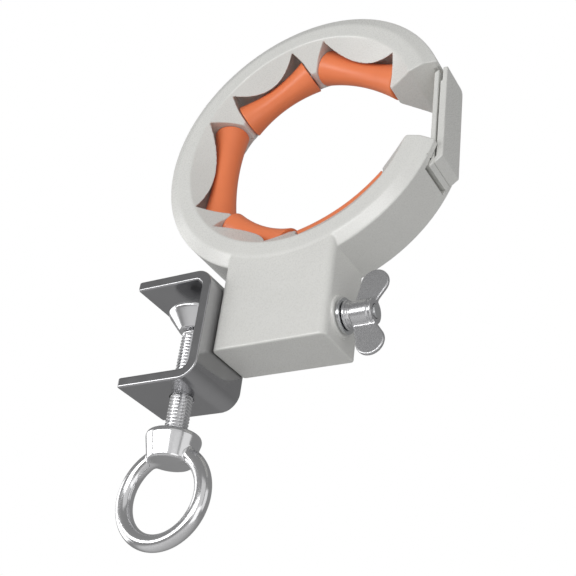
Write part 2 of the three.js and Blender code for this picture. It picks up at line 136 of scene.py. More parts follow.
SCREW_X = -44.3
SCREW_Y = -5.65
SCREW_R = 4.9
SCREW_PITCH = 1.5
PAD_TOP = -81.5
PAD_R = 12.4
HUB_TOP = -138.4
HUB_BOTTOM = -150.8
HUB_TOP_R = 11.8
HUB_BOTTOM_R = 9.4
EYE_MEAN_R = 19.0
EYE_WIRE_R = 3.5
EYE_Z = -164.8

BOLT_R = 2.85
BOLT_HEAD_R = 5.6
BOLT_HEAD_X = BRACKET_RIGHT - PLATE + 0.1  # countersunk, flush with the inside of the bracket's web
BOLT_PITCH = 1.0
WASHER_X = 28.0
WASHER_R = 7.6
WASHER_THICKNESS = 1.4
NUT_X = 29.7
NUT_LENGTH = 12.4
NUT_R = 5.4
FLANGE_R = 6.3
FLANGE_LENGTH = 1.3
WING_HALF = 0.9  # half the wings' thickness

SHELL_GRID = 0.5  # grid steps of the distance fields
EYE_GRID = 0.4
GATE_GRID = 0.35
NUT_GRID = 0.25

# ---------- distance fields ----------


def smooth_max(a, b, k):
    """The larger of two distances, rounded over a width k: it cuts, and rounds the edge it cuts."""
    h = np.maximum(k - np.abs(a - b), 0.0)
    return np.maximum(a, b) + h * h / (4 * k)


def smooth_min(a, b, k):
    """The smaller of two distances, rounded over a width k: it joins, and fills the corner."""
    return -smooth_max(-a, -b, k)


def convex(u, v, points, k):
    """Distance to a convex polygon whose corners go round anticlockwise, with rounded corners."""
    total = None
    for (u0, v0), (u1, v1) in zip(points, points[1:] + points[:1]):
        length = math.hypot(u1 - u0, v1 - v0)
        side = ((u - u0) * (v1 - v0) - (v - v0) * (u1 - u0)) / length
        total = side if total is None else smooth_max(total, side, k)
    return total


def slab(u, low, high):
    """Distance to the space between two planes."""
    return np.abs(u - (low + high) / 2) - (high - low) / 2


def rounded_box(u, v, low, high, radius):
    """Distance to a rectangle with round corners."""
    du = slab(u, low[0], high[0]) + radius
    dv = slab(v, low[1], high[1]) + radius
    outside = np.hypot(np.maximum(du, 0), np.maximum(dv, 0))
    return outside + np.minimum(np.maximum(du, dv), 0) - radius


def teardrop(u, v, start, end, start_r, end_r):
    """Distance to two circles joined by their common tangents."""
    axis = np.array(end) - np.array(start)
    h = math.hypot(*axis)
    axis = axis / h
    along = (u - start[0]) * axis[0] + (v - start[1]) * axis[1]
    across = np.abs((u - start[0]) * axis[1] - (v - start[1]) * axis[0])
    b = (start_r - end_r) / h
    a = math.sqrt(1 - b * b)
    k = along * a - across * b
    low = np.hypot(across, along) - start_r
    high = np.hypot(across, along - h) - end_r
    middle = across * a + along * b - start_r
    return np.where(k < 0, low, np.where(k > a * h, high, middle))


def from_pivot(y, z):
    """Distance from the axis on which the ring and its block tilt."""
    return np.hypot(y - PIVOT_Y, z - PIVOT_Z)


def from_hinge(x, z):
    """Distance from the axis on which the gate swings."""
    return np.hypot(x - GATE_HINGE[0], z - GATE_HINGE[1])


def from_screw(x, y):
    """Distance from the eye bolt's axis."""
    return np.hypot(x - SCREW_X, y - SCREW_Y)


# ---------- meshes ----------

BLOCK = 8  # cells along each side of a block of the sparse grid
CORNERS = np.array([(i, j, k) for i in (0, 1) for j in (0, 1) for k in (0, 1)])
EDGES = [(a, b) for a in range(8) for b in range(a + 1, 8) if np.abs(CORNERS[a] - CORNERS[b]).sum() == 1]


def sampled(field, low, counts, step):
    """Values of a field on a grid of blocks; blocks that the surface doesn't reach get their sign only."""
    centres = np.stack(np.meshgrid(*[np.arange(n) for n in counts], indexing="ij"), -1).reshape(-1, 3)
    middle = field(low + (centres + 0.5) * BLOCK * step)
    grid = np.repeat(np.repeat(np.repeat(np.sign(middle).reshape(counts), BLOCK, 0), BLOCK, 1), BLOCK, 2)
    grid = np.pad(grid, [(0, 1)] * 3, mode="edge").astype(np.float32)
    near = centres[np.abs(middle) < BLOCK * step * 1.15] * BLOCK
    local = np.stack(np.meshgrid(*[np.arange(BLOCK + 1)] * 3, indexing="ij"), -1).reshape(-1, 3)
    for some in np.array_split(near, max(1, len(near) // 400)):
        index = (some[:, None, :] + local[None, :, :]).reshape(-1, 3)
        grid[index[:, 0], index[:, 1], index[:, 2]] = field(low + index * step)
    return grid


def gradient(field, points, width):
    """Direction in which a field grows."""
    out = np.empty_like(points)
    for axis in range(3):
        shift = np.zeros(3)
        shift[axis] = width
        out[:, axis] = (field(points + shift) - field(points - shift)) / (2 * width)
    return out


def field_surface(field, low, high, step):
    """Vertices, quads and normals of the surface where a field is zero."""
    low = np.array(low, float) - 1.5 * step
    counts = np.ceil((np.array(high) + 1.5 * step - low) / (BLOCK * step)).astype(int)
    grid = sampled(field, low, tuple(counts), step)
    inside = grid < 0
    nx, ny, nz = [n - 1 for n in inside.shape]
    filled = sum(inside[i : nx + i, j : ny + j, k : nz + k].astype(np.uint8) for i, j, k in CORNERS)
    cells = np.argwhere((filled > 0) & (filled < 8))
    number = np.full(filled.shape, -1, np.int64)
    number[tuple(cells.T)] = np.arange(len(cells))
    corner = cells[:, None, :] + CORNERS[None, :, :]
    values = grid[corner[..., 0], corner[..., 1], corner[..., 2]]
    total = np.zeros((len(cells), 3))
    crossings = np.zeros(len(cells))
    for a, b in EDGES:
        cut = (values[:, a] < 0) != (values[:, b] < 0)
        share = values[cut, a] / (values[cut, a] - values[cut, b])
        total[cut] += CORNERS[a] + share[:, None] * (CORNERS[b] - CORNERS[a])
        crossings[cut] += 1
    points = low + (cells + total / crossings[:, None]) * step
    for _ in range(4):
        slope = gradient(field, points, 0.02)
        squared = np.maximum((slope * slope).sum(1), 0.05)
        move = slope * (field(points) / squared)[:, None]
        points -= np.clip(move, -0.5 * step, 0.5 * step)
    quads = []
    for axis in range(3):
        first = np.moveaxis(inside, axis, 0)
        around = np.moveaxis(number, axis, 0)
        cut = np.argwhere(first[:-1, 1:-1, 1:-1] != first[1:, 1:-1, 1:-1])
        i, j, k = cut[:, 0], cut[:, 1] + 1, cut[:, 2] + 1
        cells_round = [(j - 1, k - 1), (j, k - 1), (j, k), (j - 1, k)]
        ring = np.stack([around[i, b, c] for b, c in cells_round], 1)
        flip = ~first[i, j, k] if axis != 1 else first[i, j, k]
        ring[flip] = ring[flip][:, ::-1]
        quads.append(ring)
    normals = gradient(field, points, 0.05)
    normals /= np.maximum(np.linalg.norm(normals, axis=1), 1e-9)[:, None]
    return points, np.concatenate(quads), normals


def linked(name, data):
    """A new object in the scene."""
    obj = bpy.data.objects.new(name, data)
    bpy.context.scene.collection.objects.link(obj)
    return obj


def evaluated_mesh(obj):
    """A mesh of an object as its modifiers or its bevel make it."""
    bpy.context.view_layer.update()
    graph = bpy.context.evaluated_depsgraph_get()
    return bpy.data.meshes.new_from_object(obj.evaluated_get(graph))


def new_object(name, points, faces, normals=None):
    """A smooth-shaded mesh object; its points are in millimetres about the ring's centre."""
    mesh = bpy.data.meshes.new(name)
    placed = (np.asarray(points, float) + RING_CENTRE) * MM
    mesh.from_pydata(placed.tolist(), [], [list(map(int, face)) for face in faces])
    mesh.validate()
    mesh.shade_smooth()
    if normals is not None and len(mesh.vertices) == len(normals):
        mesh.normals_split_custom_set_from_vertices(normals.tolist())
    return linked(name, mesh)


def sculpted(name, field, low, high, step):
    """A piece made from a distance field."""
    points, quads, normals = field_surface(lambda p: field(p[:, 0], p[:, 1], p[:, 2]), low, high, step)
    return new_object(name, points, quads, normals)


def softened(profile, radius):
    """A profile with its corners rounded, and a point just before each arc so that flats stay flat."""
    points = [np.array(p[:2], float) for p in profile]
    out = [points[0]]
    for before, corner, after in zip(points, points[1:], points[2:]):
        reach = min(radius, 0.42 * np.linalg.norm(corner - before), 0.42 * np.linalg.norm(after - corner))
        start = corner + (before - corner) / np.linalg.norm(before - corner) * reach
        end = corner + (after - corner) / np.linalg.norm(after - corner) * reach
        out.append(start + (start - corner) * 0.15)
        for t in np.linspace(0, 1, 5):
            out.append((1 - t) ** 2 * start + 2 * t * (1 - t) * corner + t * t * end)
        out.append(end + (end - corner) * 0.15)
    out.append(points[-1])
    return [tuple(p) for p in out]


def softened_loop(profile, radius):
    """A closed profile with all its corners rounded; it starts in the middle of its first side."""
    middle = tuple((np.array(profile[0]) + np.array(profile[1])) / 2)
    return softened([middle, *profile[1:], profile[0], middle], radius)[:-1]


def rod_profile(radius, low, high, rounding):
    """The profile of a plain rod between two heights."""
    return softened([(0, low), (radius, low), (radius, high), (0, high)], rounding)


def tube_profile(bore, radius, low, high, rounding):
    """The closed profile of a ring or sleeve between two heights."""
    return softened_loop([(bore, low), (radius, low), (radius, high), (bore, high)], rounding)


def turned(name, profile, origin, axis, segments=96, closed=False, swell=None):
    """A piece of revolution: rows of (radius, height) about an axis, with an optional change of radius."""
    up = np.array(axis, float) / np.linalg.norm(axis)
    side = np.cross(up, (0.0, 1.0, 0.0)) if abs(up[1]) < 0.9 else np.array([1.0, 0.0, 0.0])
    side /= np.linalg.norm(side)
    other = np.cross(up, side)
    phi = np.arange(segments) * 2 * math.pi / segments
    spokes = np.cos(phi)[:, None] * side + np.sin(phi)[:, None] * other
    points, rows = [], []
    for radius, height in profile:
        centre = np.array(origin, float) + up * height
        if radius < 1e-6:
            rows.append([len(points)] * segments)
            points.append(centre)
            continue
        radii = np.full(segments, float(radius))
        if swell is not None:
            radii = radii + swell(phi, radius, height)
        rows.append(list(range(len(points), len(points) + segments)))
        points.extend(centre + spokes * radii[:, None])
    faces = []
    pairs = list(zip(rows, rows[1:] + rows[:1])) if closed else list(zip(rows, rows[1:]))
    for lower, upper in pairs:
        for i in range(segments):
            j = (i + 1) % segments
            face = [lower[i], lower[j], upper[j], upper[i]]
            faces.append([v for n, v in enumerate(face) if v not in face[:n]])
    return new_object(name, points, faces)


def mark_edges(obj, degrees):
    """Keeps edges sharper than an angle crisp, with smooth shading everywhere else."""
    mesh = bmesh.new()
    mesh.from_mesh(obj.data)
    bmesh.ops.recalc_face_normals(mesh, faces=mesh.faces)
    for edge in mesh.edges:
        edge.smooth = not (len(edge.link_faces) == 2 and edge.calc_face_angle(0) > math.radians(degrees))
    for face in mesh.faces:
        face.smooth = True
    mesh.to_mesh(obj.data)
    mesh.free()


def joined(obj, other):
    """Joins two solids into one closed mesh."""
    union = obj.modifiers.new("union", "BOOLEAN")
    union.operation = "UNION"
    union.solver = "MANIFOLD"
    union.object = other
    result = evaluated_mesh(obj)
    obj.modifiers.clear()
    obj.data = result
    bpy.data.objects.remove(other)
    mark_edges(obj, 35)
    return obj


def thread(pitch, depth, start, end):
    """Change of radius of a screw thread between two heights, running out at both ends."""

    def swell(phi, radius, height):
        if not start < height < end:
            return np.zeros_like(phi)
        turn = np.mod(height / pitch - phi / (2 * math.pi), 1.0)
        groove = np.clip((np.abs(2 * turn - 1) - 0.12) / 0.76, 0, 1)
        fade = min(1.0, (height - start) / pitch, (end - height) / pitch)
        return -depth * groove * fade

    return swell


def six_sided(phi, radius):
    """Change of radius that turns a circle into a hexagon round it."""
    corner = np.mod(phi, math.pi / 3) - math.pi / 6
    return radius / np.cos(corner) - radius


def steps(start, end, pitch):
    """Heights close enough together to show a thread."""
    return list(np.linspace(start, end, int(abs(end - start) / pitch * 10) + 2))


# ---------- ring and rear cover ----------


def post_place(degrees, radius):
    """A point at an angle round the ring and a distance from its centre."""
    return radius * math.cos(math.radians(degrees)), radius * math.sin(math.radians(degrees))


POCKETS = []
for first, second in zip(POST_ANGLES, POST_ANGLES[1:]):
    half_angle = math.radians((second - first) / 2 - POST_HALF_ANGLE)
    POCKETS.append((math.radians((first + second) / 2), FACE_INNER_R * math.sin(half_angle) + POCKET_LEAN))
SCREW_PLACES = [post_place(degrees, COVER_SCREW_R) for degrees in POST_ANGLES]


def ring_blank(x, y, z):
    """The ring without pockets: flat faces, chamfers, funnels and throat."""
    profile = [
        (THROAT_R, -THROAT_HALF),
        (FACE_INNER_R, -RING_HALF),
        (FACE_OUTER_R, -RING_HALF),
        (RING_OUTER_R, -CHAMFER_Y),
        (RING_OUTER_R, CHAMFER_Y),
        (FACE_OUTER_R, RING_HALF),
        (FACE_INNER_R, RING_HALF),
        (THROAT_R, THROAT_HALF),
    ]
    return convex(np.hypot(x, z), y, profile, 0.5)


def pocket(x, y, z, angle, half):
    """The hollow in which a roller turns, waisted like the roller."""
    inward = x * math.cos(angle) + z * math.sin(angle) - ROLLER_AXIS_R
    along = z * math.cos(angle) - x * math.sin(angle)
    away = np.hypot(inward, y)
    mouth = half - POCKET_LEAN
    radius = POCKET_WAIST_R + (POCKET_END_R - POCKET_WAIST_R) * (along / mouth) ** 2
    slope = 2 * (POCKET_END_R - POCKET_WAIST_R) * along / mouth**2
    wall = (away - radius) / np.sqrt(1 + slope * slope)
    lean = POCKET_LEAN * np.maximum(away - POCKET_FLAT_R, 0) / (POCKET_END_R - POCKET_FLAT_R)
    hollow = smooth_max(wall, np.abs(along) - half + lean, 0.5)
    pin_hole = np.maximum(away - PIN_R - HOLE_GAP, np.abs(along) - half - PIN_OVERLAP - 0.3)
    return np.minimum(hollow, pin_hole)


def side_of(x, z, start, end):
    """Distance to the line through two points, positive on its right."""
    length = math.hypot(end[0] - start[0], end[1] - start[1])
    return ((x - start[0]) * (end[1] - start[1]) - (z - start[1]) * (end[0] - start[0])) / length


def gate_opening(x, z):
    """Positive where the ring is open for the gate; the two ends are wedges."""
    top_inner = post_place(POST_ANGLES[0] - 0.4, THROAT_R)
    top_corner = post_place(OPENING_TOP, FACE_INNER_R)
    top_outer = post_place(OPENING_TOP, RING_OUTER_R)
    low_inner = post_place(POST_ANGLES[5] + 0.4, THROAT_R)
    low_corner = post_place(OPENING_BOTTOM, FACE_INNER_R)
    low_outer = post_place(OPENING_BOTTOM, RING_OUTER_R)
    top = smooth_max(side_of(x, z, top_inner, top_corner), side_of(x, z, top_corner, top_outer), 0.6)
    low = smooth_max(-side_of(x, z, low_inner, low_corner), -side_of(x, z, low_corner, low_outer), 0.6)
    return np.minimum(np.minimum(top, low), x - 38)


def gate_recess(x, y, z):
    """The slot in the rim for the gate's leaves, and the round hollow for its knuckle."""
    depth = slab(y, GATE_FRONT - GATE_GAP, GATE_BACK + GATE_GAP)
    slot = np.maximum(GATE_INNER_X - GATE_GAP - x, slab(z, GATE_HINGE[1], GATE_TOP + 1.2))
    hollow = from_hinge(x, z) - KNUCKLE_ROOM_R
    pin = np.maximum(from_hinge(x, z) - HINGE_PIN_R - HOLE_GAP, np.abs(y) - HINGE_PIN_HALF - 0.3)
    return np.minimum(np.maximum(np.minimum(slot, hollow), depth), pin)


def cover_screw_holes(x, y, z):
    """Holes for the cover's screws, with a sunk seat for each head."""
    total = None
    for px, pz in SCREW_PLACES:
        away = np.hypot(x - px, z - pz)
        hole = np.minimum(np.maximum(away - 1.65, -9.3 - y), np.maximum(away - 3.3, 9.7 - y))
        total = hole if total is None else np.minimum(total, hole)
    return total


def cut_ring(shape, x, y, z):
    """Takes the pockets, the gate's opening and recess, and the screw holes out of a shape."""
    for angle, half in POCKETS:
        shape = smooth_max(shape, -pocket(x, y, z, angle, half), 0.45)
    shape = smooth_max(shape, gate_opening(x, z), 0.7)
    shape = smooth_max(shape, -gate_recess(x, y, z), 0.5)
    return smooth_max(shape, -cover_screw_holes(x, y, z), 0.4)


def foot_block(x, y, z):
    """The block below the ring, with the boss for the pivot's washer."""
    plan = smooth_max(
        rounded_box(x, y, (-BLOCK_HALF_WIDTH, BLOCK_FRONT), (BLOCK_HALF_WIDTH, BLOCK_BACK + 9), 2.8),
        y - BLOCK_BACK,
        1.2,
    )
    block = smooth_max(plan, slab(z, BLOCK_BOTTOM, -44), 0.9)
    boss = smooth_max(from_pivot(y, z) - BOSS_R, slab(x, 20, BOSS_X), 0.5)
    solid = smooth_min(block, boss, 0.5)
    return np.maximum(solid, FACE_OUTER_R - 2 - np.hypot(x, z))


def cover_space(x, y, z):
    """The rear cover's space: a disc behind the mid plane, stepped back behind the throat strip."""
    radius = np.hypot(x, z)
    front = np.minimum(np.maximum(-y, COVER_STEP_R - radius), COVER_STEP_Y - y)
    return np.maximum(np.maximum(radius - COVER_R, front), gate_opening(x, z) + COVER_END)


def ring_body(x, y, z):
    """The moulded ring with its foot block, open behind for the cover."""
    shell = smooth_max(ring_blank(x, y, z), -cover_space(x, y, z), 0.3)
    whole = smooth_min(shell, foot_block(x, y, z), 0.35)
    bush_hole = np.maximum(from_pivot(y, z) - SLEEVE_R - 0.3, np.abs(x) - 40)
    return cut_ring(smooth_max(whole, -bush_hole, 0.4), x, y, z)


def rear_cover(x, y, z):
    """The cover that closes the ring from behind and holds the pins in."""
    return cut_ring(smooth_max(ring_blank(x, y, z), cover_space(x, y, z) + SEAM, 0.3), x, y, z)


# ---------- gate ----------


def rivet_holes(x, y, z):
    """Blind holes for the rivets that hold the leaves together."""
    middle = (GATE_FRONT + GATE_BACK) / 2
    holes = np.minimum(*[np.hypot(y - middle, z - rivet_z) for rivet_z in RIVET_Z]) - RIVET_R - HOLE_GAP
    return np.maximum(holes, x - (GATE_OUTER_X - 1.2))


def gate_outline(y, z):
    """The leaves' outline seen from the side, with a round corner at the top of the back."""
    return rounded_box(y, z, (GATE_FRONT - 9, -60), (GATE_BACK, GATE_TOP), 3.0)


def gate_outer_leaf(x, y, z):
    """The gate's outer plate, with a foot below, thinned on the inside of its upper end."""
    plate = [(OUTER_LEAF_X, -29.1), (GATE_OUTER_X, -26.6), (GATE_OUTER_X, GATE_TOP), (OUTER_LEAF_X, GATE_TOP)]
    foot_x = LEAF_SPLIT_X + 0.06
    foot = [(foot_x, -29.7), (GATE_OUTER_X, -26.6), (GATE_OUTER_X, -24.5), (foot_x, -26.5)]
    leaf = np.minimum(convex(x, z, plate, 0.5), convex(x, z, foot, 0.3))
    leaf = smooth_max(leaf, slab(y, GATE_FRONT, GATE_BACK), 0.6)
    leaf = smooth_max(leaf, gate_outline(y, z), 0.5)
    notch = np.maximum(x - HOOK_X, HOOK_Z - z)
    return smooth_max(smooth_max(leaf, -notch, 0.3), -rivet_holes(x, y, z), 0.2)


def gate_inner_leaf(x, y, z):
    """The gate's inner plate, with the knuckle that turns on the hinge pin."""
    plate = [(GATE_INNER_X, -31.2), (LEAF_SPLIT_X, -29.7), (LEAF_SPLIT_X, 22.2), (GATE_INNER_X, 21.2)]
    knuckle = from_hinge(x, z)
    leaf = smooth_min(convex(x, z, plate, 0.5), knuckle - KNUCKLE_R, 0.4)
    leaf = smooth_max(leaf, slab(y, GATE_FRONT, GATE_BACK), 0.6)
    spring_room = np.maximum(slab(y, -3.2, 3.2), knuckle - 2.6)
    leaf = smooth_max(leaf, HINGE_PIN_R + HOLE_GAP - knuckle, 0.3)
    return smooth_max(smooth_max(leaf, -spring_room, 0.3), -rivet_holes(x, y, z), 0.2)


def gate_spring():
    """Torsion spring: a coil about the hinge pin."""
    coil = []
    for t in np.linspace(0, 1, int(SPRING_TURNS * 16)):
        angle = 2 * math.pi * SPRING_TURNS * t
        along = SPRING_HALF * (2 * t - 1)
        place = (SPRING_COIL_R * math.cos(angle), along, SPRING_COIL_R * math.sin(angle))
        coil.append(np.array([GATE_HINGE[0], 0, GATE_HINGE[1]]) + place)
    curve = bpy.data.curves.new("gate_spring_path", "CURVE")
    curve.dimensions = "3D"
    curve.bevel_depth = SPRING_WIRE_R * MM
    curve.bevel_resolution = 3
    curve.use_fill_caps = True
    spline = curve.splines.new("POLY")
    spline.points.add(len(coil) - 1)
    for point, place in zip(spline.points, coil):
        point.co = (*((place + RING_CENTRE) * MM), 1.0)
    path = linked("gate_spring_path", curve)
    mesh = evaluated_mesh(path)
    mesh.shade_smooth()
    bpy.data.objects.remove(path)
    return linked("gate_spring_coil", mesh)


# ---------- clamp ----------


def clamp_bracket(x, y, z):
    """A steel strip bent to a C, with a tapped hole and a countersunk hole for the pivot bolt."""
    outer = rounded_box(x, z, (BRACKET_LEFT - 30, BRACKET_BOTTOM), (BRACKET_RIGHT, BRACKET_TOP), BEND_R)
    low = (BRACKET_LEFT - 60, BRACKET_BOTTOM + PLATE)
    high = (BRACKET_RIGHT - PLATE, BRACKET_TOP - PLATE)
    inner = rounded_box(x, z, low, high, BEND_R - PLATE)
    strip = smooth_max(np.maximum(outer, -inner), BRACKET_LEFT - x, 0.8)
    strip = smooth_max(strip, slab(y, BRACKET_FRONT, BRACKET_BACK), 0.9)
    tapped = np.maximum(from_screw(x, y) - SCREW_R - 0.25, z + 100)
    away = from_pivot(y, z)
    sink = np.maximum(away - BOLT_R - 0.3, BOLT_HEAD_X - 1 - x)
    cone = np.maximum((away + x - BOLT_HEAD_X - BOLT_HEAD_R - 0.35) / math.sqrt(2), BOLT_HEAD_X - 1 - x)
    return smooth_max(strip, -np.minimum(tapped, np.minimum(sink, cone)), 0.4)


def eye_bolt_head(x, y, z):
    """The forged part of the eye bolt: its conical hub flowing into the ring."""
    away = from_screw(x, y)
    cone = [
        (-9, HUB_BOTTOM),
        (HUB_BOTTOM_R, HUB_BOTTOM),
        (HUB_TOP_R, HUB_TOP - 1.6),
        (HUB_TOP_R - 1, HUB_TOP),
        (-9, HUB_TOP),
    ]
    hub = convex(away, z, cone, 0.9)
    ring = np.hypot(np.hypot(x - SCREW_X, z - EYE_Z) - EYE_MEAN_R, y - SCREW_Y) - EYE_WIRE_R
    return smooth_min(hub, ring, 1.1)


def eye_bolt():
    """The eye bolt with its thread and the plain tip that the pad turns on."""
    start, end, tip = HUB_TOP - 2, PAD_TOP - 10.5, PAD_TOP - 2.2
    shank = [(0, start)]
    shank += [(SCREW_R, height) for height in steps(start, end, SCREW_PITCH)]
    shank += [(3.2, end + 1), (3.2, tip - 0.4), (2.8, tip), (0, tip)]
    swell = thread(SCREW_PITCH, 0.9, HUB_TOP + 0.2, end)
    rod = turned("eye_bolt_shank", shank, (SCREW_X, SCREW_Y, 0), (0, 0, 1), 72, swell=swell)
    low = (SCREW_X - EYE_MEAN_R - EYE_WIRE_R, SCREW_Y - HUB_TOP_R, EYE_Z - EYE_MEAN_R - EYE_WIRE_R)
    high = (SCREW_X + EYE_MEAN_R + EYE_WIRE_R, SCREW_Y + HUB_TOP_R, HUB_TOP)
    head = sculpted("eye_bolt_forged", eye_bolt_head, low, high, EYE_GRID)
    return joined(head, rod)


def pressure_pad():
    """The cone that presses on the clamped edge, hollow for the screw's tip and the clip."""
    bore = 3.5
    profile = [
        (bore, PAD_TOP - 9),
        (6.4, PAD_TOP - 9),
        (PAD_R - 0.5, PAD_TOP - 2.2),
        (PAD_R, PAD_TOP - 1.4),
        (PAD_R, PAD_TOP),
        (5.4, PAD_TOP),
        (5.4, PAD_TOP - 3.6),
        (bore, PAD_TOP - 3.6),
    ]
    loop = softened_loop(profile, 0.5)
    return turned("pressure_pad_cone", loop, (SCREW_X, SCREW_Y, 0), (0, 0, 1), 96, closed=True)


# ---------- pivot ----------


def pivot_bolt():
    """Countersunk bolt with a hexagonal socket, threaded at its end."""
    socket_r = 1.9
    thread_start = BOSS_X - 8
    end = NUT_X + NUT_LENGTH + 0.6
    socket = [(0, 2.3), (socket_r - 0.001, 2), (socket_r, 1.9), (socket_r, 0.2), (socket_r + 0.25, 0)]
    head = [(BOLT_HEAD_R - 0.3, 0), (BOLT_HEAD_R, 0.15), (BOLT_HEAD_R, 0.3)]
    head += [(BOLT_R, 0.3 + BOLT_HEAD_R - BOLT_R)]
    profile = [(radius, BOLT_HEAD_X + depth) for radius, depth in socket + head]
    profile += [(BOLT_R, height) for height in steps(thread_start, end - 0.5, BOLT_PITCH)]
    profile += [(BOLT_R - 0.5, end), (0, end)]
    cut = thread(BOLT_PITCH, 0.45, thread_start, end - 0.4)

    def swell(phi, radius, height):
        if height < BOLT_HEAD_X + 2.1 and abs(radius - socket_r) < 0.01:
            return six_sided(phi, radius)
        return cut(phi, radius, height)

    bolt = turned("pivot_bolt_countersunk", profile, (0, PIVOT_Y, PIVOT_Z), (1, 0, 0), 72, swell=swell)
    mark_edges(bolt, 40)
    return bolt


def wing_nut(x, y, z):
    """Hub with a flange and two turned grooves, and a flat teardrop wing on each side."""
    ring = from_pivot(y, z)
    end = NUT_X + NUT_LENGTH
    hub = smooth_max(ring - NUT_R, slab(x, NUT_X, end), 0.7)
    flange = smooth_max(ring - FLANGE_R, slab(x, NUT_X, NUT_X + FLANGE_LENGTH), 0.4)
    for groove_x in (NUT_X + 2.6, end - 1.6):
        hub = smooth_max(hub, 0.6 - np.hypot(ring - NUT_R - 0.1, x - groove_x), 0.2)
    wings = teardrop(x, np.abs(z - PIVOT_Z), (NUT_X + 6.6, 3.0), (NUT_X + 11.0, 13.2), 4.0, 6.2)
    wings = smooth_max(wings, np.abs(y - PIVOT_Y) - WING_HALF, 0.7)
    nut = smooth_min(smooth_min(hub, flange, 0.5), wings, 1.0)
    return smooth_max(nut, BOLT_R + 0.12 - ring, 0.4)


def hex_socket(phi, radius, height):
    """Makes the rows of a cover screw's socket six-sided."""
    if height > 9.9 and abs(radius - SCREW_SOCKET_R) < 0.02:
        return six_sided(phi, radius)
    return np.zeros_like(phi)


def cover_screw(name, px, pz):
    """Pan-head screw with a hexagonal socket."""
    outline = [(0, -9), (1.5, -9), (1.5, 10), (2.8, 10), (2.8, 11.4), (2.3, 12.1), (1.45, 12.2)]
    socket = [(SCREW_SOCKET_R, height) for height in (12.18, 12.0, 10.9)]
    socket += [(SCREW_SOCKET_R - 0.001, 10.8), (0, 10.6)]
    screw = turned(name, softened(outline, 0.25) + socket, (px, 0, pz), (0, 1, 0), 48, swell=hex_socket)
    mark_edges(screw, 40)
    return screw


# ---------- materials ----------


def plain_material(
    slot, metallic, roughness, spread, fleck, bump, stretch=(1, 1, 1), tint=0.03, lift=1.0, specular=0.5
):
    """A moulded or metal surface: even colour with slight clouding, and a fine grain in gloss and relief.

    The colour is lifted by a factor and varies by the tint either way; the roughness varies by the spread.
    The fleck is the grain's scale, stretched along the axes, and the bump is its strength.
    """
    colour = [c * lift for c in COLOUR_OF[slot]]
    material = bpy.data.materials.new(slot)
    material.use_nodes = True
    nodes, links = material.node_tree.nodes, material.node_tree.links
    shader = nodes["Principled BSDF"]
    shader.inputs["Metallic"].default_value = metallic
    shader.inputs["Specular IOR Level"].default_value = specular
    place = nodes.new("ShaderNodeTexCoord")
    scaled = nodes.new("ShaderNodeMapping")
    scaled.inputs["Scale"].default_value = stretch
    links.new(place.outputs["Object"], scaled.inputs["Vector"])
    grain = nodes.new("ShaderNodeTexNoise")
    grain.inputs["Scale"].default_value = fleck
    grain.inputs["Detail"].default_value = 3.0
    links.new(scaled.outputs["Vector"], grain.inputs["Vector"])
    cloud = nodes.new("ShaderNodeTexNoise")
    cloud.inputs["Scale"].default_value = 60.0
    cloud.inputs["Detail"].default_value = 2.0
    links.new(place.outputs["Object"], cloud.inputs["Vector"])
    shade = nodes.new("ShaderNodeValToRGB")
    shade.color_ramp.elements[0].position = 0.35
    shade.color_ramp.elements[1].position = 0.65
    shade.color_ramp.elements[0].color = (*[c * (1 - tint) for c in colour], 1)
    shade.color_ramp.elements[1].color = (*[min(1, c * (1 + tint)) for c in colour], 1)
    links.new(cloud.outputs["Fac"], shade.inputs["Fac"])
    links.new(shade.outputs["Color"], shader.inputs["Base Color"])
    gloss = nodes.new("ShaderNodeMapRange")
    gloss.inputs["From Min"].default_value = 0.3
    gloss.inputs["From Max"].default_value = 0.7
    gloss.inputs["To Min"].default_value = roughness - spread
    gloss.inputs["To Max"].default_value = roughness + spread
    links.new(grain.outputs["Fac"], gloss.inputs["Value"])
    links.new(gloss.outputs["Result"], shader.inputs["Roughness"])
    relief = nodes.new("ShaderNodeBump")
    relief.inputs["Strength"].default_value = bump
    relief.inputs["Distance"].default_value = 0.00004
    links.new(grain.outputs["Fac"], relief.inputs["Height"])
    links.new(relief.outputs["Normal"], shader.inputs["Normal"])
    return material


SURFACES = {
    "shell_plastic": dict(
        metallic=0, roughness=0.28, spread=0.03, fleck=2600, bump=0.15, tint=0.012, specular=0.95
    ),
    "roller_plastic": dict(metallic=0, roughness=0.34, spread=0.05, fleck=1800, bump=0.15, lift=1.14),
    "screw_steel": dict(metallic=1, roughness=0.22, spread=0.04, fleck=1500, bump=0.05),
    "bracket_steel": dict(
        metallic=1, roughness=0.2, spread=0.03, fleck=900, bump=0.02, stretch=(0.15, 1, 0.15)
    ),
    "polished_steel": dict(metallic=1, roughness=0.17, spread=0.02, fleck=700, bump=0.01),
    "wing_steel": dict(metallic=1, roughness=0.28, spread=0.03, fleck=2000, bump=0.04, lift=1.15),
}
MATERIALS = {slot: plain_material(slot, **surface) for slot, surface in SURFACES.items()}

# ---------- pieces ----------


def stand_for(obj, node):
    """Shows a fine piece in place of a CAD node, on its body and with its material."""
    obj.data.materials.clear()
    obj.data.materials.append(MATERIALS[SLOT_OF[node]])
    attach(obj, BODY_OF[node])
    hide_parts(node)
    return obj


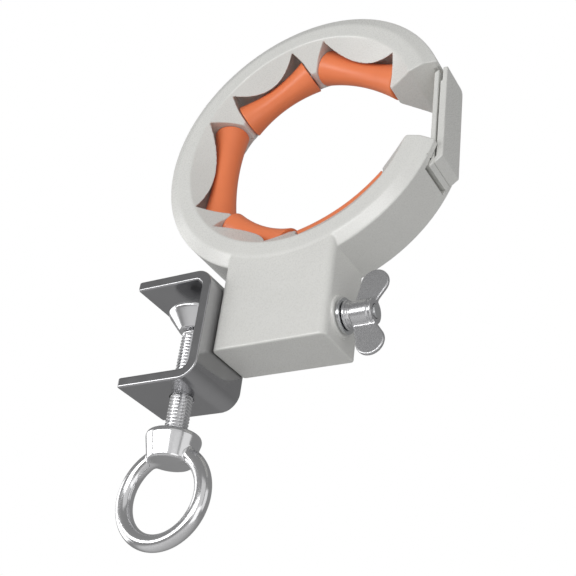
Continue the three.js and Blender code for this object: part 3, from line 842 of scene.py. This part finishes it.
ring_low, ring_high = (-RING_OUTER_R, -RING_HALF, BLOCK_BOTTOM), (RING_OUTER_R, RING_HALF, RING_OUTER_R)
stand_for(sculpted("ring_body_moulded", ring_body, ring_low, ring_high, SHELL_GRID), "ring_body")
cover_low, cover_high = (-COVER_R, 0, -COVER_R), (COVER_R, RING_HALF, COVER_R)
stand_for(sculpted("rear_cover_moulded", rear_cover, cover_low, cover_high, SHELL_GRID), "rear_cover")
for number, (px, pz) in enumerate(SCREW_PLACES, 1):
    stand_for(cover_screw(f"cover_screw_{number}_socket_head", px, pz), f"cover_screw_{number}")

for number, (angle, half) in enumerate(POCKETS, 1):
    place = (ROLLER_AXIS_R * math.cos(angle), 0, ROLLER_AXIS_R * math.sin(angle))
    axis = (-math.sin(angle), 0, math.cos(angle))
    length = half - 0.5
    flare = ROLLER_END_R - ROLLER_WAIST_R
    body = [(ROLLER_WAIST_R + flare * t * t, t * length) for t in np.linspace(-0.97, 0.97, 41)]
    rim = [(ROLLER_END_R - drop, share * length) for drop, share in ((0.12, 0.985), (0.25, 0.995), (0.6, 1))]
    bore = [(ROLLER_BORE_R + 0.3, length), (ROLLER_BORE_R, length - 0.3)]
    low_side = [(r, -h) for r, h in reversed(rim + bore)]
    roller = turned(f"roller_{number}_hourglass", low_side + body + rim + bore, place, axis, 96, closed=True)
    mark_edges(roller, 50)
    stand_for(roller, f"roller_{number}")
    reach = half + PIN_OVERLAP
    pin = rod_profile(PIN_R, -reach, reach, 0.4)
    stand_for(turned(f"roller_pin_{number}_rod", pin, place, axis, 32), f"roller_pin_{number}")

gate_low, gate_high = (59, GATE_FRONT, -32), (GATE_OUTER_X, GATE_BACK, GATE_TOP)
outer_leaf = sculpted("gate_outer_leaf_plate", gate_outer_leaf, gate_low, gate_high, GATE_GRID)
stand_for(outer_leaf, "gate_outer_leaf")
inner_leaf = sculpted("gate_inner_leaf_plate", gate_inner_leaf, gate_low, gate_high, GATE_GRID)
stand_for(inner_leaf, "gate_inner_leaf")
hinge_place = (GATE_HINGE[0], 0, GATE_HINGE[1])
hinge_pin = rod_profile(HINGE_PIN_R, -HINGE_PIN_HALF, HINGE_PIN_HALF, 0.4)
stand_for(turned("gate_hinge_pin_rod", hinge_pin, hinge_place, (0, 1, 0), 32), "gate_hinge_pin")
stand_for(gate_spring(), "gate_spring")
for number, rivet_z in enumerate(RIVET_Z, 1):
    rivet = rod_profile(RIVET_R, GATE_INNER_X, GATE_OUTER_X - 1.5, 0.3)
    place = (0, (GATE_FRONT + GATE_BACK) / 2, rivet_z)
    stand_for(turned(f"gate_rivet_{number}_head", rivet, place, (1, 0, 0), 32), f"gate_rivet_{number}")

bracket_low = (BRACKET_LEFT, BRACKET_FRONT, BRACKET_BOTTOM)
bracket_high = (BRACKET_RIGHT, BRACKET_BACK, BRACKET_TOP)
bracket = sculpted("clamp_bracket_strip", clamp_bracket, bracket_low, bracket_high, SHELL_GRID)
stand_for(bracket, "clamp_bracket")
stand_for(eye_bolt(), "eye_bolt")
stand_for(pressure_pad(), "pressure_pad")
clip = tube_profile(3.5, 5.1, PAD_TOP - 3.3, PAD_TOP - 2.5, 0.2)
stand_for(turned("pad_clip_ring", clip, (SCREW_X, SCREW_Y, 0), (0, 0, 1), 48, closed=True), "pad_clip")

pivot = (0, PIVOT_Y, PIVOT_Z)
stand_for(pivot_bolt(), "pivot_bolt")
bush = tube_profile(BOLT_R + 0.3, SLEEVE_R, -BLOCK_HALF_WIDTH, BOSS_X, 0.2)
stand_for(turned("pivot_bush_sleeve", bush, pivot, (1, 0, 0), 48, closed=True), "pivot_bush")
washer = tube_profile(BOLT_R + 0.3, WASHER_R, WASHER_X, WASHER_X + WASHER_THICKNESS, 0.25)
stand_for(turned("pivot_washer_disc", washer, pivot, (1, 0, 0), 72, closed=True), "pivot_washer")
nut_low = (NUT_X, PIVOT_Y - 7, PIVOT_Z - 20)
nut_high = (NUT_X + 18, PIVOT_Y + 7, PIVOT_Z + 20)
stand_for(sculpted("wing_nut_forged", wing_nut, nut_low, nut_high, NUT_GRID), "wing_nut")

# ---------- stage, light and camera ----------

FLOOR_Z = -0.75
LENS = 65.3
CAMERA_PLACE = (209.49, -319.19, -301.27)  # from the ring's centre
CAMERA_AZIMUTH = 33.65
CAMERA_ELEVATION = -30.89
CAMERA_ROLL = 8.05


def camera_axes():
    """The camera's right, up and backward directions."""
    a, e, roll = [math.radians(v) for v in (CAMERA_AZIMUTH, CAMERA_ELEVATION, CAMERA_ROLL)]
    back = Vector((math.sin(a) * math.cos(e), -math.cos(a) * math.cos(e), math.sin(e)))
    level = Vector((math.cos(a), math.sin(a), 0))
    upright = level.cross(-back)
    right = math.cos(roll) * level + math.sin(roll) * upright
    up = -math.sin(roll) * level + math.cos(roll) * upright
    return right, up, back


def make_camera():
    """The camera at the reference view."""
    data = bpy.data.cameras.new("camera")
    data.lens = LENS
    data.clip_start = 0.01
    camera = linked("camera", data)
    place = Vector(((np.array(CAMERA_PLACE) + RING_CENTRE) * MM).tolist())
    camera.matrix_world = Matrix.Translation(place) @ Matrix(camera_axes()).transposed().to_4x4()
    bpy.context.scene.camera = camera


def softbox(name, direction, distance, width, height, power):
    """A rectangular soft light that faces the clamp from a direction."""
    data = bpy.data.lights.new(name, "AREA")
    data.shape = "RECTANGLE"
    data.size = width
    data.size_y = height
    data.energy = power
    light = linked(name, data)
    target = Vector(((RING_CENTRE + (0, 0, -50)) * MM).tolist())
    way = Vector(direction).normalized()
    light.location = target + way * distance
    light.rotation_mode = "QUATERNION"
    light.rotation_quaternion = way.to_track_quat("Z", "Y")


def make_floor():
    """A wide floor, well below the hanging clamp, which looks evenly pale to the camera."""
    half = 4.0
    mesh = bpy.data.meshes.new("floor")
    corners = [(-half, -half, FLOOR_Z), (half, -half, FLOOR_Z), (half, half, FLOOR_Z), (-half, half, FLOOR_Z)]
    mesh.from_pydata(corners, [], [(0, 1, 2, 3)])
    material = bpy.data.materials.new("floor")
    material.use_nodes = True
    nodes, links = material.node_tree.nodes, material.node_tree.links
    shader = nodes["Principled BSDF"]
    shader.inputs["Base Color"].default_value = (0.9, 0.9, 0.9, 1)
    shader.inputs["Roughness"].default_value = 0.9
    glow = nodes.new("ShaderNodeEmission")
    glow.inputs["Strength"].default_value = 0.8
    ray = nodes.new("ShaderNodeLightPath")
    mix = nodes.new("ShaderNodeMixShader")
    links.new(ray.outputs["Is Camera Ray"], mix.inputs["Fac"])
    links.new(shader.outputs["BSDF"], mix.inputs[1])
    links.new(glow.outputs["Emission"], mix.inputs[2])
    links.new(mix.outputs["Shader"], nodes["Material Output"].inputs["Surface"])
    mesh.materials.append(material)
    linked("floor", mesh)


def make_world():
    """Even grey light from all round, with a white backdrop behind the object."""
    world = bpy.data.worlds.new("studio")
    bpy.context.scene.world = world
    world.use_nodes = True
    nodes, links = world.node_tree.nodes, world.node_tree.links
    ambient = nodes["Background"]
    ambient.inputs["Color"].default_value = (1.0, 1.0, 1.0, 1)
    ambient.inputs["Strength"].default_value = 0.26
    backdrop = nodes.new("ShaderNodeBackground")
    backdrop.inputs["Color"].default_value = (1.0, 1.0, 1.0, 1)
    backdrop.inputs["Strength"].default_value = 1.0
    ray = nodes.new("ShaderNodeLightPath")
    mix = nodes.new("ShaderNodeMixShader")
    links.new(ray.outputs["Is Camera Ray"], mix.inputs["Fac"])
    links.new(ambient.outputs["Background"], mix.inputs[1])
    links.new(backdrop.outputs["Background"], mix.inputs[2])
    links.new(mix.outputs["Shader"], nodes["World Output"].inputs["Surface"])


make_camera()
make_floor()
make_world()
softbox("front_light", (-0.34, -0.94, -0.02), 1.2, 1.7, 0.34, 7.6)
softbox("front_fill", (0.6, -0.8, 0.1), 1.2, 1.2, 1.2, 1.8)
softbox("low_front_light", (0.7, -0.5, -0.5), 1.2, 0.8, 0.8, 1.7)
softbox("left_light", (-1.0, -0.1, 0.0), 1.2, 0.9, 0.9, 3.6)
softbox("right_light", (1.0, 0.0, 0.0), 1.2, 0.8, 0.8, 1.2)
bpy.context.scene.view_settings.view_transform = "Standard"

bpy.context.view_layer.update()
